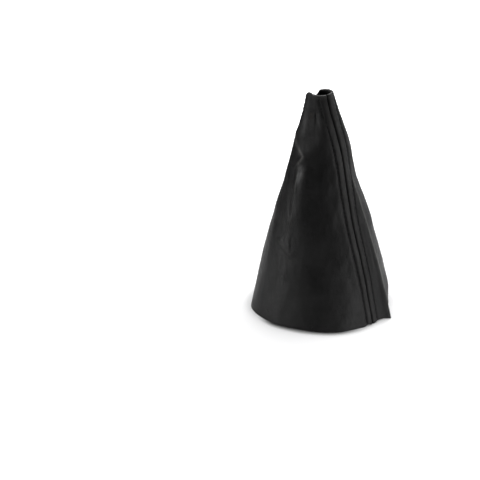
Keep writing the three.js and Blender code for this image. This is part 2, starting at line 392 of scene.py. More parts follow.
def crest(angle, t):  # 1 on the crests of the creases, where the leather rubs and where the rubbed colour also paints a highlight
    total = np.zeros(np.broadcast(angle, t).shape)
    for points, rise, *_ in creases.values():
        distance, _, along = alongLine(angle, t, points)
        rubbedOrLitCrest = min(1, rise / rubbedOrLit["fullRise"]) ** 2 * (1 - (2 * along - 1) ** rubbedOrLit["endPower"])
        total = np.maximum(total, bell(distance, rubbedOrLit["creaseWidth"]) * rubbedOrLitCrest)
    place, _, _, _, _, high = folds["crease"]
    ridge = rubbedOrLit["sideCrease"] * bell(away(angle, place), rubbedOrLit["sideCreaseWidth"])
    return np.maximum(total, ridge * smooth(high - t, 0, rubbedOrLit["sideCreaseFade"]))


def creaseRise(angle, t):
    total = np.zeros(np.broadcast(angle, t).shape)
    for points, rise, edge, left, right, dent, dentWidth in creases.values():
        distance, side, along = alongLine(angle, t, points)
        onRight = smooth(-side, -slopes["blend"], slopes["blend"])
        width = left * (1 - onRight) + right * onRight
        fading = np.sin(np.pi * along) ** slopes["endPower"]
        ridge = rise * np.exp((edge - np.sqrt(distance ** 2 + edge ** 2)) / width)
        drop = dent * onRight * (1 - np.exp(-distance / right)) * bell(distance, dentWidth)
        total += (ridge - drop) * fading
    return total * smooth(away(angle, slopes["leftEnd"]), 0, slopes["leftFade"])


def faceRise(angle, t, besideSeam):
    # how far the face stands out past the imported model's, with its seams and creases
    row, edge = rowFromSeam(t), seam["allowance"]
    fromRow = besideSeam - row
    turned = 1 - smooth(besideSeam, edge - seam["stepBefore"], edge + seam["stepPast"])
    first, last, _ = stitchSpan()
    sewn = smooth(t, first - seam["sewnFade"], first) * (1 - smooth(t, last, last + seam["sewnFade"]))
    hole = (1 + np.cos(2 * np.pi * stitchPhase(t))) / 2
    swell = 1 + seam["swell"] * np.sin(np.pi * np.clip(besideSeam / row, 0, 1))
    rise = seam["padding"] * turned * swell
    rise = rise - seam["valley"] * bell(besideSeam, seam["valleyWidth"])
    rise = rise - seam["groove"] * bell(fromRow, seam["grooveWidth"]) * sewn
    rise = rise - seam["hole"] * bell(fromRow, seam["holeWidth"]) * hole ** seam["holePower"] * sewn
    rise = rise - seam["pucker"] * (hole - 1 / 2) * np.exp(-np.abs(fromRow) / seam["puckerReach"]) * sewn
    past = (1 - t) * sleeve["height"] - sleeve["cuff"]
    rise = rise + cuffMark["rise"] * (1 - smooth(past, -cuffMark["fadeBefore"], cuffMark["fadePast"]))
    rise = rise - cuffMark["groove"] * bell(past, cuffMark["grooveWidth"])
    calm = 1 - waves["calm"] * smooth(t, waves["calmFrom"], 1)
    return rise + dentRise(angle, t) + creaseRise(angle, t) + undulation(surface(angle, t)) * calm


grid = {
    "hemRows": (0.12, 0.35, 0.8, 1.6),
    "rimRows": (1.7, 0.85, 0),
    "cuffRows": (0.1, -0.02),  # past the cuff's edge
    "roll": 7,  # rows over the turned rim
    "nose": (6, 22, 42, 64, 90),  # degrees round a turned edge where it meets the other one
    "rowReach": 1.3,  # the close columns reach this far on both sides of a stitch row
    "toRow": 10,  # columns from the nose to there
    "overRow": 8,
    "afterRow": (0.5, 1),  # shares of the way from there to the turned edge's end
    "pastEdge": (0.12, 0.9, 2),
    "tolerance": 0.01,
    "frontForms": (-90, folds["leftRidge"][0]),  # angles of the forms that a column runs along
    "frontBetween": (26, 44, 46),  # columns in each stretch between the turned edges
    "backForms": (folds["crease"][0], folds["lobe"][0]),
    "backBetween": (8, 30, 78),
    "leaveForms": (0.5, 0.75),  # between these heights they leave the forms and spread evenly
    "measured": 700,  # points that a panel's girth is measured at
    "besideAngle": 2.2,  # radians, how far from a seam its neighbours are looked for
    "besidePoints": 500,
}
grainSide, fleshFace, cutFace = range(3)  # the order of the panels' materials


def rowHeights():
    first, last, count = stitchSpan()
    low = [z / sleeve["height"] for z in grid["hemRows"]]
    sewn = list(np.linspace(first, last, count * seam["rowsPerStitch"] + 1))
    high = [1 - z / sleeve["height"] for z in grid["rimRows"]]
    cuffEdge = [1 - (sleeve["cuff"] + past) / sleeve["height"] for past in grid["cuffRows"]]
    return np.array(sorted(low + sewn + high + cuffEdge))


def angleBeside(t, line, distances):  # angles at some distances along the face from a line
    side = 1 if distances[-1] >= 0 else -1
    angles = line(t) + side * np.linspace(0, grid["besideAngle"], grid["besidePoints"])
    travelled = lengthAlong(surface(angles, t))
    return np.interp(np.abs(distances), travelled, angles)


def edgeColumns(t):
    # beside a seam: distance, and depth of the outer and the inner face, at one height
    r, gap = sleeve["turned"] / 2, sleeve["gap"] / 2
    columns = []
    for degrees in grid["nose"]:
        turn = math.radians(degrees)
        columns.append((gap + r * (1 - math.cos(turn)), r * (1 - math.sin(turn)), r * (1 + math.sin(turn))))
    before, after = rowFromSeam(t) - grid["rowReach"], rowFromSeam(t) + grid["rowReach"]
    distances = list(np.linspace(gap + r, before, grid["toRow"] + 1)[1:])
    distances += list(np.linspace(before, after, grid["overRow"] + 1)[1:])
    distances += [after + (seam["allowance"] - after) * share for share in grid["afterRow"]]
    columns += [(distance, 0, sleeve["turned"]) for distance in distances]
    columns += [(seam["allowance"] + past, 0, sleeve["leather"]) for past in grid["pastEdge"]]
    return columns


def panelColumns(t, first, last, via, between):
    # angles, distances to the nearer seam and both depths of a panel's columns at one height
    angles = np.linspace(first(t), last(t), grid["measured"])
    travelled = lengthAlong(surface(angles, t))
    whole = travelled[-1]
    edge = edgeColumns(t)
    distances = [c[0] for c in edge]
    stops = [distances[-1]]
    passed, total = 0, sum(between)
    spread = smooth(t, *grid["leaveForms"])
    inside = whole - 2 * distances[-1]
    for place, count in zip(via, between):
        passed += count
        there = np.interp(math.radians(place), angles, travelled)
        stops.append(there * (1 - spread) + (distances[-1] + inside * passed / total) * spread)
    stops.append(whole - distances[-1])
    middle = []
    for index, count in enumerate(between):
        middle += list(np.linspace(stops[index], stops[index + 1], count + 1)[:-1])
    reached = np.array(distances + middle[1:] + [whole - d for d in reversed(distances)])
    mirrored = edge[::-1]
    outer = [c[1] for c in edge] + [0] * (len(middle) - 1) + [c[1] for c in mirrored]
    inner = [c[2] for c in edge] + [sleeve["leather"]] * (len(middle) - 1) + [c[2] for c in mirrored]
    return (np.interp(reached, travelled, angles), np.minimum(reached, whole - reached),
            np.array(outer), np.array(inner))


def meshObject(name, points, faces):
    mesh = bpy.data.meshes.new(name)
    mesh.from_pydata([tuple(p) for p in (points + shift) * mm], [], faces)
    mesh.validate()
    obj = bpy.data.objects.new(name, mesh)
    scene.collection.objects.link(obj)
    mesh.shade_smooth()
    return obj


def makePanel(name, first, last, via, between):
    # every column is a loop up the outer face, over the rim, down the inner face and along
    # the hem's cut edge
    rows = rowHeights()
    columns = [panelColumns(t, first, last, via, between) for t in rows]
    angle, beside, outer, inner = (np.array([c[k] for c in columns]) for k in range(4))
    t = rows[:, None] * np.ones_like(angle)
    inCuff = (1 - t) * sleeve["height"] <= sleeve["cuff"]
    inner = np.where(inCuff & (inner == sleeve["leather"]), sleeve["turned"], inner)
    rise = faceRise(angle, t, beside)
    settle = 1 - smooth(outer, 0, sleeve["turned"] / 2)  # seams meet face to face
    outerDepth = outer - rise * settle
    innerDepth = inner - sleeve["follow"] * (rise - seam["padding"]) * settle
    innerDepth = np.maximum(innerDepth, outerDepth + sleeve["thinnest"] * (inner - outer))
    closed = pinch(np.sin(angle), t)  # where the rim's walls lie face to face
    innerDepth = innerDepth * (1 - closed) + np.minimum(innerDepth, sleeve["turned"]) * closed
    chamfer = grid["hemRows"][0]
    outerFace = surface(angle, t, outerDepth)
    innerFace = surface(angle, t, innerDepth)[::-1]
    hemOuter = surface(angle[0], np.zeros_like(t[0]), outerDepth[0] + chamfer)
    hemInner = surface(angle[0], np.zeros_like(t[0]), innerDepth[0] - chamfer)
    roll = []
    low, high = outerDepth[-1], innerDepth[-1]
    for turn in np.linspace(0, np.pi, grid["roll"] + 2)[1:-1]:
        depth = (low + high) / 2 - (high - low) / 2 * np.cos(turn)
        roll.append(surface(angle[-1], t[-1], depth, (high - low) / 2 * np.sin(turn)))
    loops = np.concatenate([hemOuter[None], outerFace, np.array(roll), innerFace, hemInner[None]])
    loop, across = loops.shape[:2]
    points = loops.transpose(1, 0, 2).reshape(-1, 3)
    faces, kinds = [], []
    rowCount = len(rows)
    cuffRow = int(np.argmax(inCuff[:, 0]))
    for c in range(across - 1):
        nearer, farther = sorted((beside[0, c], beside[0, c + 1]))
        turnedEdge = nearer < seam["allowance"] - grid["tolerance"]
        rawStep = abs(farther - seam["allowance"] - grid["pastEdge"][0]) < grid["tolerance"]
        for k in range(loop):
            after = (k + 1) % loop
            here, there = c * loop, (c + 1) * loop
            faces.append((here + k, there + k, there + after, here + after))
            insideRow = loop - 2 - k  # 0 at the hem, on the inner face
            onInside = k > rowCount + grid["roll"]
            belowCuff = onInside and insideRow < cuffRow
            cuffStep = onInside and insideRow == cuffRow and not turnedEdge
            if k in (0, loop - 2, loop - 1) or cuffStep or belowCuff and rawStep:
                kinds.append(cutFace)
            elif belowCuff and not turnedEdge:
                kinds.append(fleshFace)
            else:
                kinds.append(grainSide)
    for base, flip in ((0, False), ((across - 1) * loop, True)):
        for k in range(loop // 2):
            a, b, c, d = base + k, base + k + 1, base + loop - 2 - k, base + loop - 1 - k
            corners = [a, b, c, d] if b != c else [a, b, d]
            if len(set(corners)) > 2:
                faces.append(tuple(reversed(corners)) if flip else tuple(corners))
                kinds.append(grainSide)
    # where the leather is painted lighter: real wear, and a painted highlight on the creases' crests
    puffed = rubbedOrLit["seam"] * bell(beside - rubbedOrLit["seamAt"], rubbedOrLit["seamWidth"])
    nearRim = rubbedOrLit["rim"] * bell((1 - t) * sleeve["height"], rubbedOrLit["rimWidth"])
    inRow = sunken["row"] * bell(beside - rowFromSeam(t), sunken["rowWidth"])
    proudOrLit, sunk = np.zeros((2, loop, across))
    proudOrLit[0] = rubbedOrLit["hem"]
    proudOrLit[1:rowCount + 1] = np.maximum(np.maximum(crest(angle, t), puffed), nearRim)
    proudOrLit[rowCount + 1:rowCount + 1 + grid["roll"]] = rubbedOrLit["roll"]
    sunk[1:rowCount + 1] = np.maximum(bell(beside, sunken["seamWidth"]), inRow)
    obj = meshObject(name, points, faces)
    obj.data.polygons.foreach_set("material_index", kinds)
    for label, values in (("proudOrLit", proudOrLit), ("sunk", sunk)):
        obj.data.attributes.new(label, "FLOAT", "POINT").data.foreach_set("value", values.T.ravel())
    return obj


frontPanel = makePanel("frontPanel", rearSeamBefore, sideSeam, grid["frontForms"], grid["frontBetween"])
print("front panel made,", len(frontPanel.data.polygons), "faces")
backPanel = makePanel("backPanel", sideSeam, rearSeam, grid["backForms"], grid["backBetween"])
print("back panel made,", len(backPanel.data.polygons), "faces")

thread = {
    "radius": 0.27,
    "plies": 3,
    "plyDepth": 0.1,  # of the radius
    "plySwell": 1.6,  # of that depth, which keeps the thread's mean radius
    "twist": 1.6,  # mm of thread in one turn
    "lift": 0.12,  # a stitch's middle stands this high in its groove
    "plunge": 1.15,  # its ends go this deep into the holes
    "fill": 0.96,  # share of the pitch that a stitch's path takes
    "stations": 15,
    "sides": 12,
    "seed": 11,
    "stray": 0.07,  # how far the stitches stray to a side of the row
    "uneven": 0.02,  # and in height
    "sagPower": 3.2,  # a higher one keeps a stitch level nearer to its ends
    "needleProud": 0.4,  # of the radius: the needle thread's middle past its groove
    "bobbinProud": 0.7,  # of the radius: the bobbin thread's middle past the inner face
    "belowCuff": 2,  # the threads inside end this far below the cuff
    "probe": 0.5,  # the way out of the leather is measured over this length
}
closingStitch = {
    "stations": 760,
    "sides": 8,
    "radius": 0.85,  # of the other threads' radius
    "turns": 1.6,  # of its weave, in the length of one stitch
    "weave": 0.12,  # how far it weaves from side to side
    "sink": 0.12,  # its middle stays this far short of the inner face
    "rise": 0.1,  # and rises and falls by this
}


def tubeRings(centres, outward, radius, sides, start=0):
    # rings of a twisted thread along a path, with the plies as lobes of the section
    along = unit(np.gradient(centres, axis=0))
    across = unit(np.cross(along, outward))
    upward = np.cross(across, along)
    travelled = lengthAlong(centres)
    turn = np.linspace(0, 2 * np.pi, sides, endpoint=False)
    rings = []
    for k, centre in enumerate(centres):
        lobes = thread["plies"] * (turn - 2 * np.pi * (travelled[k] + start) / thread["twist"])
        swell = thread["plySwell"] * np.abs(np.cos(lobes / 2)) - 1
        r = radius * (1 + thread["plyDepth"] * swell)
        rings.append(centre + np.outer(np.cos(turn) * r, across[k]) + np.outer(np.sin(turn) * r, upward[k]))
    return np.array(rings)


def joinTubes(name, tubes):  # one object from many closed tubes
    points, faces, base = [], [], 0
    for rings in tubes:
        count, sides = rings.shape[:2]
        points.append(rings.reshape(-1, 3))
        for k in range(count - 1):
            for s in range(sides):
                after = (s + 1) % sides
                a, b = base + k * sides, base + (k + 1) * sides
                faces.append((a + s, a + after, b + after, b + s))
        faces.append(tuple(base + s for s in reversed(range(sides))))
        faces.append(tuple(base + (count - 1) * sides + s for s in range(sides)))
        base += count * sides
    return meshObject(name, np.concatenate(points), faces)


def insideTop():  # height where the threads inside end, under the cuff
    return 1 - (sleeve["cuff"] + thread["belowCuff"]) / sleeve["height"]


def lookingOut(angle, t, depth, centres):  # ways out of the leather
    return unit(surface(angle, t, depth - thread["probe"]) - centres)


def stitchRow(name, line, side, inside):
    # a stitch from each hole to the next one, laid in the groove of its row
    first, last, count = stitchSpan()
    rng = np.random.default_rng(thread["seed"] + (1 if side > 0 else 0) + (2 if inside else 0))
    top = insideTop() if inside else 1
    steps = np.linspace(-1, 1, thread["stations"])
    tubes = []
    for k in range(count):
        share = (k + (1 + steps * thread["fill"]) / 2) / count
        t = first + (last - first) * share
        if t[-1] > top:
            break
        row = rowFromSeam(t)
        stray = rng.normal(0, thread["stray"])
        angle = np.array([angleBeside(x, line, [side * (d + stray)])[0] for x, d in zip(t, row)])
        rise = faceRise(angle, t, row)
        sag = thread["plunge"] * np.abs(steps) ** thread["sagPower"]
        tight = thread["lift"] + rng.normal(0, thread["uneven"])
        if inside:
            face = sleeve["turned"] - sleeve["follow"] * (rise - seam["padding"])
            face = np.maximum(face, sleeve["leather"])
            depth = face.mean() + thread["radius"] * thread["bobbinProud"] - sag
        else:
            groove = rise[len(rise) // 2]
            depth = sag - groove - tight - thread["radius"] * thread["needleProud"]
        centres = surface(angle, t, depth)
        outward = lookingOut(angle, t, depth, centres)
        start = rng.random() * 2
        tubes.append(tubeRings(centres, outward, thread["radius"], thread["sides"], start))
    return joinTubes(name, tubes)


def closingThread(name, line):  # in the valley between the two noses, on the inside
    t = np.linspace(seam["inset"] / sleeve["height"], insideTop(), closingStitch["stations"])
    turn = 2 * np.pi * stitchPhase(t) * closingStitch["turns"]
    weave = closingStitch["weave"] * np.sin(turn)
    angle = np.array([angleBeside(x, line, [w])[0] for x, w in zip(t, weave)])
    depth = sleeve["turned"] - closingStitch["sink"] + closingStitch["rise"] * np.cos(turn)
    centres = surface(angle, t, depth)
    outward = lookingOut(angle, t, depth, centres)
    radius = thread["radius"] * closingStitch["radius"]
    return joinTubes(name, [tubeRings(centres, outward, radius, closingStitch["sides"])])


rows = {
    "sideSeamTopstitchFront": ("side_seam_topstitch_front", sideSeam, -1, False),
    "sideSeamTopstitchBack": ("side_seam_topstitch_back", sideSeam, 1, False),
    "rearSeamTopstitchFront": ("rear_seam_topstitch_front", rearSeamBefore, 1, False),
    "rearSeamTopstitchBack": ("rear_seam_topstitch_back", rearSeam, -1, False),
    "sideSeamBobbinFront": ("side_seam_bobbin_front", sideSeam, -1, True),
    "sideSeamBobbinBack": ("side_seam_bobbin_back", sideSeam, 1, True),
    "rearSeamBobbinFront": ("rear_seam_bobbin_front", rearSeamBefore, 1, True),
    "rearSeamBobbinBack": ("rear_seam_bobbin_back", rearSeam, -1, True),
}
threads = []
for name, (node, line, side, inside) in rows.items():
    row = stitchRow(name, line, side, inside)
    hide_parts(node)
    threads.append(row)
for name, node, line in (("sideSeamClosingThread", "side_seam_closing_thread", sideSeam),
                         ("rearSeamClosingThread", "rear_seam_closing_thread", rearSeam)):
    closing = closingThread(name, line)
    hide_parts(node)
    threads.append(closing)
print("threads made,", sum(len(t.data.polygons) for t in threads), "faces")


nodeGap = 180


def newNode(tree, kind, **values):
    node = tree.nodes.new(kind)
    node.location = (nodeGap * len(tree.nodes), 0)  # side by side, in order
    for key, value in values.items():
        setattr(node, key, value)
    return node


def mathNode(tree, operation, *inputs, clamp=False):
    node = newNode(tree, "ShaderNodeMath", operation=operation, use_clamp=clamp)
    for k, value in enumerate(inputs):
        if isinstance(value, (int, float)):
            node.inputs[k].default_value = value
        else:
            tree.links.new(value, node.inputs[k])
    return node.outputs[0]


def ramp(tree, value, low, high):  # 0 at low and 1 at high
    node = newNode(tree, "ShaderNodeMapRange", interpolation_type="SMOOTHSTEP")
    tree.links.new(value, node.inputs["Value"])
    node.inputs["From Min"].default_value = low
    node.inputs["From Max"].default_value = high
    return node.outputs["Result"]


def mixColour(tree, factor, first, second):
    node = newNode(tree, "ShaderNodeMix", data_type="RGBA")
    for socket, value in ((node.inputs[0], factor), (node.inputs[6], first), (node.inputs[7], second)):
        if isinstance(value, tuple):
            socket.default_value = (*value, 1)
        else:
            tree.links.new(value, socket)
    return node.outputs[2]


def newGroup(name, inputs, outputs):
    tree = bpy.data.node_groups.new(name, "ShaderNodeTree")
    for label, value in inputs.items():
        socket = tree.interface.new_socket(label, in_out="INPUT", socket_type="NodeSocketFloat")
        socket.default_value = value
    for label in outputs:
        tree.interface.new_socket(label, in_out="OUTPUT", socket_type="NodeSocketFloat")
    start = newNode(tree, "NodeGroupInput")
    end = newNode(tree, "NodeGroupOutput")
    return tree, start, end


def objectPlace(tree):
    return newNode(tree, "ShaderNodeTexCoord").outputs["Object"]


def component(tree, vector, letter):
    node = newNode(tree, "ShaderNodeSeparateXYZ")
    tree.links.new(vector, node.inputs[0])
    return node.outputs[letter]


def noise(tree, place, scale, detail, roughness=0.5):
    node = newNode(tree, "ShaderNodeTexNoise")
    tree.links.new(place, node.inputs["Vector"])
    node.inputs["Scale"].default_value = scale
    node.inputs["Detail"].default_value = detail
    node.inputs["Roughness"].default_value = roughness
    return node.outputs["Fac"]


def cells(tree, place, scale, feature):
    node = newNode(tree, "ShaderNodeTexVoronoi", feature=feature)
    tree.links.new(place, node.inputs["Vector"])
    tree.links.new(scale, node.inputs["Scale"])
    return node


def bentPlace(tree, place, amount, scale):  # a place, shifted about by noise
    shake = newNode(tree, "ShaderNodeTexNoise")
    tree.links.new(place, shake.inputs["Vector"])
    shake.inputs["Scale"].default_value = scale
    shifted = newNode(tree, "ShaderNodeVectorMath", operation="MULTIPLY_ADD")
    tree.links.new(shake.outputs["Color"], shifted.inputs[0])
    shifted.inputs[1].default_value = (amount,) * 3
    tree.links.new(place, shifted.inputs[2])
    return shifted.outputs["Vector"]


# Each noise is its scale, in lumps to a metre, its detail and its roughness
leatherGrain = {
    "pebbles": 1250,  # to a metre
    "wrinkles": 210,
    "bend": (0.0011, 420),  # how far noise bends their outlines, and its scale
    "softness": 0.35,
    "creaseWidth": 0.16,  # share of a pebble
    "wrinkleWidth": 0.09,
    "patches": (46, 2, 0.5),  # where there are wrinkles
    "patchEdge": (0.42, 0.66),
    "fine": (5200, 2, 0.6),
    "uneven": (380, 3, 0.6),
    "mottle": (28, 4, 0.55),
    "heights": {"pebbles": -0.8, "creases": -0.6, "wrinkles": -0.55, "fine": 0.2, "uneven": 0.7},
    "creaseShade": 0.7,  # how dark a crease is, beside a wrinkle
}


def makeGrainGroup():
    # leather grain: small pebbles with creases between them, fine pores, and longer wrinkles
    look = leatherGrain
    tree, start, end = newGroup("leatherGrain", {"Pebbles": look["pebbles"], "Wrinkles": look["wrinkles"]},
                                ("Height", "Creases", "Mottle"))
    place = objectPlace(tree)
    bent = bentPlace(tree, place, *look["bend"])
    pebbles = cells(tree, bent, start.outputs["Pebbles"], "SMOOTH_F1")
    pebbles.inputs["Smoothness"].default_value = look["softness"]
    joints = cells(tree, bent, start.outputs["Pebbles"], "DISTANCE_TO_EDGE")
    crease = ramp(tree, joints.outputs["Distance"], look["creaseWidth"], 0)
    lines = cells(tree, bent, start.outputs["Wrinkles"], "DISTANCE_TO_EDGE")
    wrinkle = ramp(tree, lines.outputs["Distance"], look["wrinkleWidth"], 0)
    here = ramp(tree, noise(tree, place, *look["patches"]), *look["patchEdge"])
    wrinkle = mathNode(tree, "MULTIPLY", wrinkle, here)
    parts = {"pebbles": pebbles.outputs["Distance"], "creases": crease, "wrinkles": wrinkle,
             "fine": noise(tree, place, *look["fine"]), "uneven": noise(tree, place, *look["uneven"])}
    height = 1
    for part, rise in look["heights"].items():
        height = mathNode(tree, "MULTIPLY_ADD", parts[part], rise, height)
    tree.links.new(height, end.inputs["Height"])
    both = mathNode(tree, "MAXIMUM", mathNode(tree, "MULTIPLY", crease, look["creaseShade"]), wrinkle)
    tree.links.new(both, end.inputs["Creases"])
    tree.links.new(noise(tree, place, *look["mottle"]), end.inputs["Mottle"])
    return tree


wearAndHighlight = {
    "amount": 1,
    "patches": (160, 4, 0.6),
    "patchEdge": (0.3, 0.7),
    "least": 0.4,  # the rubbed colour between the patches, as a share of that in them
}


def makeWearAndHighlightGroup():
    # rubbed places, which on the creases' crests are also a painted highlight: the mesh says where leather
    # stands proud, noise breaks the patches up
    tree, start, end = newGroup("rubbedEdgesAndHighlights", {"Amount": wearAndHighlight["amount"]}, ("Mask",))
    proudOrLit = newNode(tree, "ShaderNodeAttribute", attribute_name="proudOrLit").outputs["Fac"]
    patches = ramp(tree, noise(tree, objectPlace(tree), *wearAndHighlight["patches"]), *wearAndHighlight["patchEdge"])
    patches = mathNode(tree, "MULTIPLY_ADD", patches, 1 - wearAndHighlight["least"], wearAndHighlight["least"])
    mask = mathNode(tree, "MULTIPLY", proudOrLit, patches)
    mask = mathNode(tree, "MULTIPLY", mask, start.outputs["Amount"], clamp=True)
    tree.links.new(mask, end.inputs["Mask"])
    return tree


dust = {
    "amount": 0.15,
    "upward": (0.1, 0.9),  # how far a surface faces up where dust starts to lie and is full
    "onSides": 0.35,  # and less on the sides
    "specks": (900, 3, 0.7),
    "speckEdge": (0.55, 0.75),
    "cloud": (60, 3, 0.5),
    "cloudEdge": (0.35, 0.7),
    "colour": (0.2, 0.19, 0.18),
}


def makeDustGroup():
    # faint dust in specks and clouds, most of it on what faces upwards
    tree, start, end = newGroup("settledDust", {"Amount": dust["amount"]}, ("Mask",))
    place = objectPlace(tree)
    facing = newNode(tree, "ShaderNodeNewGeometry").outputs["Normal"]
    up = ramp(tree, component(tree, facing, "Z"), *dust["upward"])
    specks = ramp(tree, noise(tree, place, *dust["specks"]), *dust["speckEdge"])
    cloud = ramp(tree, noise(tree, place, *dust["cloud"]), *dust["cloudEdge"])
    lying = mathNode(tree, "ADD", up, dust["onSides"])
    mask = mathNode(tree, "MULTIPLY", lying, mathNode(tree, "ADD", specks, cloud))
    mask = mathNode(tree, "MULTIPLY", mask, start.outputs["Amount"], clamp=True)
    tree.links.new(mask, end.inputs["Mask"])
    return tree


grainGroup, wearAndHighlightGroup, dustGroup = makeGrainGroup(), makeWearAndHighlightGroup(), makeDustGroup()


def useGroup(tree, group, **values):
    node = newNode(tree, "ShaderNodeGroup", node_tree=group)
    for label, value in values.items():
        node.inputs[label].default_value = value
    return node


def newMaterial(name, constants):
    material = bpy.data.materials.new(name)
    material.use_nodes = True
    shader = material.node_tree.nodes["Principled BSDF"]
    for label, value in constants.items():
        shader.inputs[label].default_value = value
    return material, material.node_tree, shader


def dusted(tree, colour, amount):  # a colour with dust on it
    mask = useGroup(tree, dustGroup, Amount=amount).outputs["Mask"]
    return mixColour(tree, mask, colour, dust["colour"])


def roughBy(tree, shader, mask, span, roughness):  # rougher by the span where the mask is 1
    tree.links.new(mathNode(tree, "MULTIPLY_ADD", mask, span, roughness), shader.inputs["Roughness"])


def bumpFrom(tree, shader, height, distance):
    bump = newNode(tree, "ShaderNodeBump")
    bump.inputs["Strength"].default_value = 1
    bump.inputs["Distance"].default_value = distance
    tree.links.new(height, bump.inputs["Height"])
    tree.links.new(bump.outputs["Normal"], shader.inputs["Normal"])


blackLeather = {
    "colour": (0.0036, 0.0036, 0.0039),
    "lighter": (0.007, 0.0068, 0.0072),
    "mottleEdge": (0.3, 0.7),
    # painted shade: the colour in the grain's creases and wrinkles
    "creases": (0.003, 0.003, 0.0033),
    "creaseShare": 0.8,
    # the rubbed colour: real wear, and a painted highlight on the creases' crests
    "rubbedOrLit": (0.13, 0.127, 0.12),
    "dust": 0.025,
    "roughness": 0.27,
    "mottleRoughness": 0.1,  # added where the leather is lighter
    "creaseRoughness": 0.16,  # and in the grain's creases
    "rubbedRoughness": -0.02,  # and where it is rubbed
    "neckRoughness": 0.14,  # and where hands have gripped the neck, between these heights
    "neckFrom": 0.15,
    "neckTo": 0.172,
    "sunkRoughness": 0.85,  # matt leather down in the seams and the stitch rows
    "grainDepth": 0.00006,
    "constants": {"Specular IOR Level": 0.42, "Coat Weight": 0.06, "Coat Roughness": 0.3},
}


def makeLeather():
    look = blackLeather
    material, tree, shader = newMaterial("blackLeather", look["constants"])
    grain = useGroup(tree, grainGroup)
    rubbedOrLitMask = useGroup(tree, wearAndHighlightGroup).outputs["Mask"]
    mottle = ramp(tree, grain.outputs["Mottle"], *look["mottleEdge"])
    creases = mathNode(tree, "MULTIPLY", grain.outputs["Creases"], look["creaseShare"])
    colour = mixColour(tree, mottle, look["colour"], look["lighter"])
    # lighter where rubbed: real wear, and a painted highlight on the creases' crests
    colour = mixColour(tree, rubbedOrLitMask, colour, look["rubbedOrLit"])
    # painted shade: darker in the grain's creases and wrinkles
    colour = mixColour(tree, creases, colour, look["creases"])
    tree.links.new(dusted(tree, colour, look["dust"]), shader.inputs["Base Color"])
    neck = ramp(tree, component(tree, objectPlace(tree), "Z"), look["neckFrom"], look["neckTo"])
    rough = look["roughness"]
    for mask, added in ((mottle, "mottleRoughness"), (grain.outputs["Creases"], "creaseRoughness"),
                        (neck, "neckRoughness"), (rubbedOrLitMask, "rubbedRoughness")):
        rough = mathNode(tree, "MULTIPLY_ADD", mask, look[added], rough)
    sunk = newNode(tree, "ShaderNodeAttribute", attribute_name="sunk").outputs["Fac"]
    rougher = mathNode(tree, "SUBTRACT", look["sunkRoughness"], rough)
    roughBy(tree, shader, sunk, rougher, rough)
    bumpFrom(tree, shader, grain.outputs["Height"], look["grainDepth"])
    return material


fleshSide = {
    "colour": (0.03, 0.028, 0.027),
    "fibreColour": (0.075, 0.07, 0.066),
    "bend": (0.0016, 300),
    "fibres": (2600, 4, 0.7),
    "fibreEdge": (0.4, 0.75),
    "nap": (130, 4, 0.6),
    "napEdge": (0.35, 0.75),
    "dust": 0.08,
    "roughness": 0.87,
    "napRoughness": 0.08,
    "depth": 0.00022,
    "constants": {"Specular IOR Level": 0.2, "Sheen Weight": 0.25, "Sheen Roughness": 0.5},
}


def makeFleshSide():
    look = fleshSide
    material, tree, shader = newMaterial("fleshSide", look["constants"])
    place = objectPlace(tree)
    fibres = noise(tree, bentPlace(tree, place, *look["bend"]), *look["fibres"])
    nap = noise(tree, place, *look["nap"])
    colour = mixColour(tree, ramp(tree, fibres, *look["fibreEdge"]), look["colour"], look["fibreColour"])
    colour = mixColour(tree, ramp(tree, nap, *look["napEdge"]), colour, look["colour"])
    tree.links.new(dusted(tree, colour, look["dust"]), shader.inputs["Base Color"])
    roughBy(tree, shader, nap, look["napRoughness"], look["roughness"])
    bumpFrom(tree, shader, mathNode(tree, "ADD", fibres, nap), look["depth"])
    return material


cutEdge = {
    "colour": (0.02, 0.018, 0.016),
    "fibreColour": (0.06, 0.052, 0.045),
    "bend": (0.0006, 900),
    "fibres": (1900, 5, 0.75),
    "fibreEdge": (0.38, 0.7),
    "roughness": 0.78,
    "fibreRoughness": 0.15,
    "depth": 0.00015,
    "constants": {"Specular IOR Level": 0.25},
}
sewingThread = {
    "colour": (0.006, 0.006, 0.0065),
    "fibreColour": (0.02, 0.02, 0.021),
    "bend": (0.0002, 3000),
    "fibres": (7000, 3, 0.65),
    "fibreEdge": (0.4, 0.7),
    "dust": 0.06,
    "roughness": 0.6,
    "fibreRoughness": 0.2,
    "depth": 0.00005,
    "constants": {"Specular IOR Level": 0.4, "Sheen Weight": 0.2},
}


def makeFibrous(name, look):  # for the cut edge and the thread
    material, tree, shader = newMaterial(name, look["constants"])
    fibres = noise(tree, bentPlace(tree, objectPlace(tree), *look["bend"]), *look["fibres"])
    colour = mixColour(tree, ramp(tree, fibres, *look["fibreEdge"]), look["colour"], look["fibreColour"])
    if "dust" in look:
        colour = dusted(tree, colour, look["dust"])
    tree.links.new(colour, shader.inputs["Base Color"])
    roughBy(tree, shader, fibres, look["fibreRoughness"], look["roughness"])
    bumpFrom(tree, shader, fibres, look["depth"])
    return material


leatherLooks = [makeLeather(), makeFleshSide(), makeFibrous("cutEdge", cutEdge)]
threadLook = makeFibrous("sewingThread", sewingThread)
for panel, node in ((frontPanel, "front_panel"), (backPanel, "back_panel")):
    for material in leatherLooks:
        panel.data.materials.append(material)
    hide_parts(node)
    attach(panel, "root")
for piece in threads:
    piece.data.materials.append(threadLook)
    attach(piece, "root")
print("materials made")

